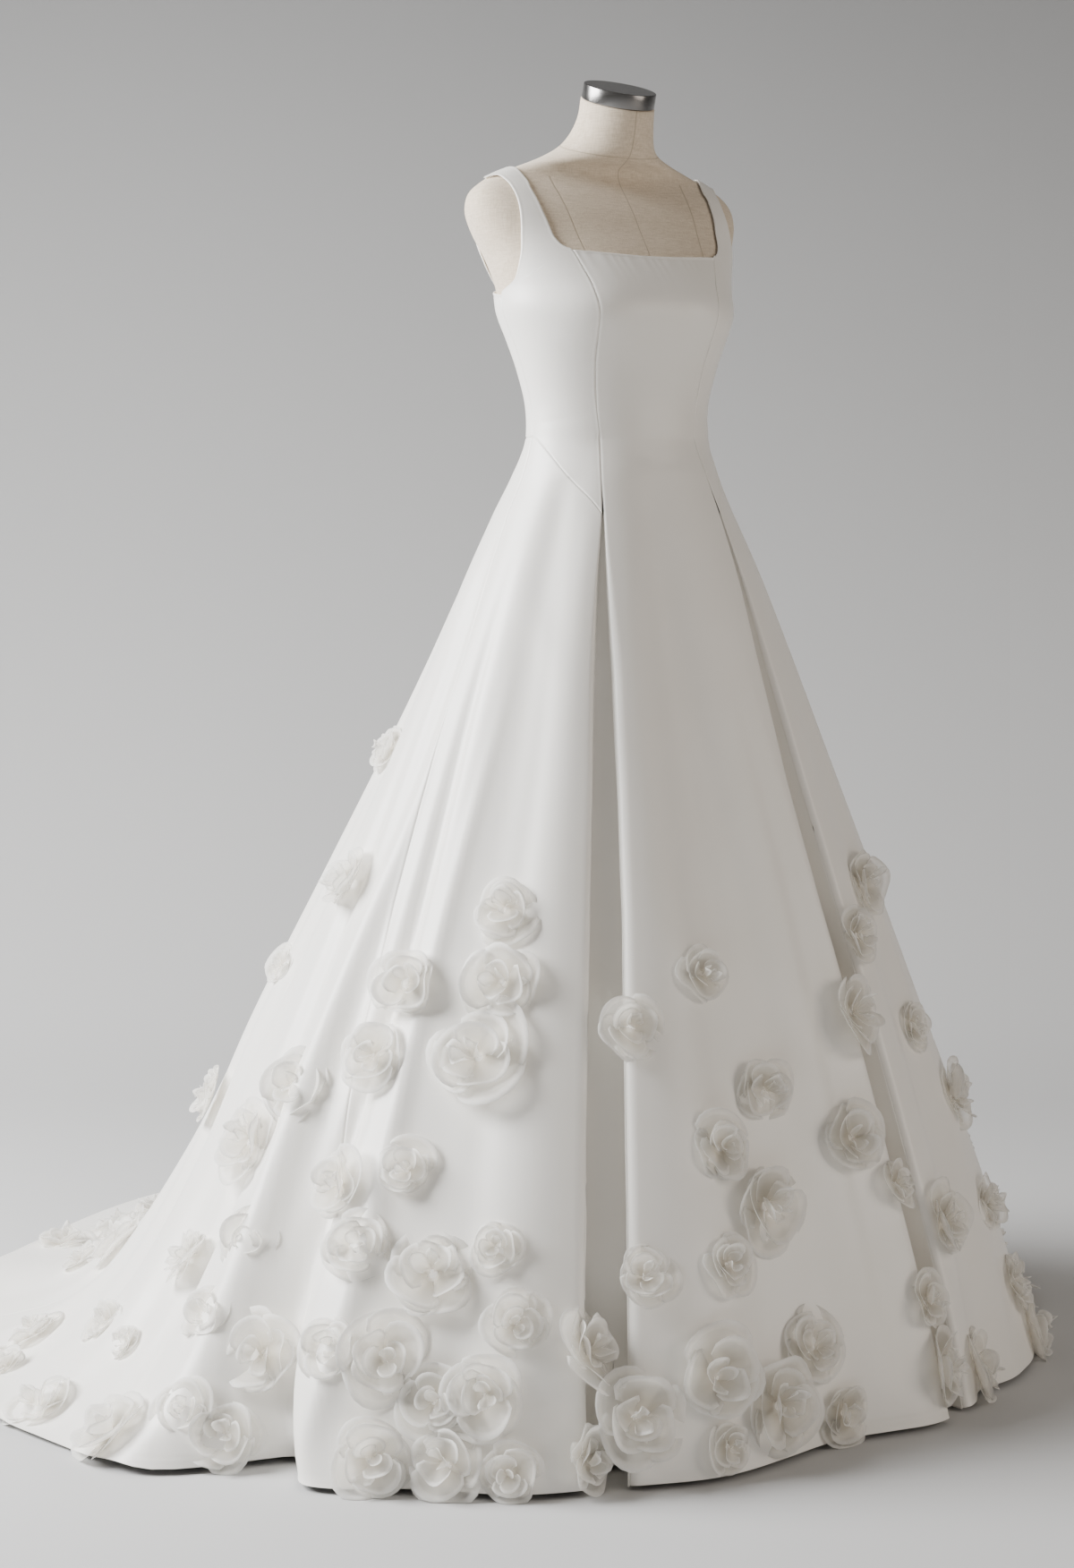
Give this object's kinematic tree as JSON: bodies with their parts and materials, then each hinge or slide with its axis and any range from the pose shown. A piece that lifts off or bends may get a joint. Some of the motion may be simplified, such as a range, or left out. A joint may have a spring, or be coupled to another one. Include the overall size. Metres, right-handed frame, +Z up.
{
  "type": "wedding dress on a limbless dress form",
  "caption": "Ivory satin wedding dress with a square neck, tank straps, princess seams, inverted front pleats, organza rosettes and a train, on a linen dress form",
  "frame": {"origin": "on the floor under the stand's pole, at the middle of the base's flat underside", "axes": "+Z up, the dress's front faces -Y and its train lies towards +Y, the wearer's right is -X"},
  "size_m": [1.6889, 1.8265, 1.7887],
  "materials": {
    "satin": "ivory satin crepe with a soft sheen",
    "organza": "sheer crisp silk organza petals",
    "linen": "natural unbleached plain weave linen",
    "steel_cap": "brushed steel",
    "zip_metal": "ivory lacquered zinc",
    "stand_paint": "pale satin enamel"
  },
  "bodies": {
    "dress": {"centre_front": "satin", "side_front_bodice_right": "satin", "side_front_skirt_right": "satin", "pleat_underlay_right": "satin", "side_back_bodice_right": "satin", "centre_back_bodice_right": "satin", "side_back_skirt_right": "satin", "centre_back_skirt_right": "satin", "side_front_bodice_left": "satin", "side_front_skirt_left": "satin", "pleat_underlay_left": "satin", "side_back_bodice_left": "satin", "centre_back_bodice_left": "satin", "side_back_skirt_left": "satin", "centre_back_skirt_left": "satin", "rosettes_01": "organza", "rosettes_02": "organza", "rosettes_03": "organza", "rosettes_04": "organza", "rosettes_05": "organza", "rosettes_06": "organza", "rosettes_07": "organza", "rosettes_08": "organza", "rosettes_09": "organza", "rosettes_10": "organza", "rosettes_11": "organza", "rosettes_12": "organza", "rosettes_13": "organza", "rosettes_14": "organza", "rosettes_15": "organza", "rosettes_16": "organza", "rosettes_17": "organza", "rosettes_18": "organza", "rosettes_19": "organza", "rosettes_20": "organza", "rosettes_21": "organza", "rosettes_22": "organza", "rosettes_23": "organza", "rosettes_24": "organza", "rosettes_25": "organza", "rosettes_26": "organza", "rosettes_27": "organza", "rosettes_28": "organza", "rosettes_29": "organza", "rosettes_30": "organza", "rosettes_31": "organza", "rosettes_32": "organza", "rosettes_33": "organza", "rosettes_34": "organza", "rosettes_35": "organza", "rosettes_36": "organza", "zip_slider": "zip_metal", "form_torso": "linen", "neck_cap": "steel_cap", "stand_pole": "stand_paint", "stand_base": "stand_paint"},
    "pull_tab": {"zip_pull_tab": "zip_metal"}
  },
  "joints": [
    {"name": "pull_tab_hinge", "type": "hinge", "parent": "dress", "child": "pull_tab", "pos_m": [0, 0.1291, 1.47542], "axis": [1, 0, 0], "range_deg": [0, 150]}
  ]
}
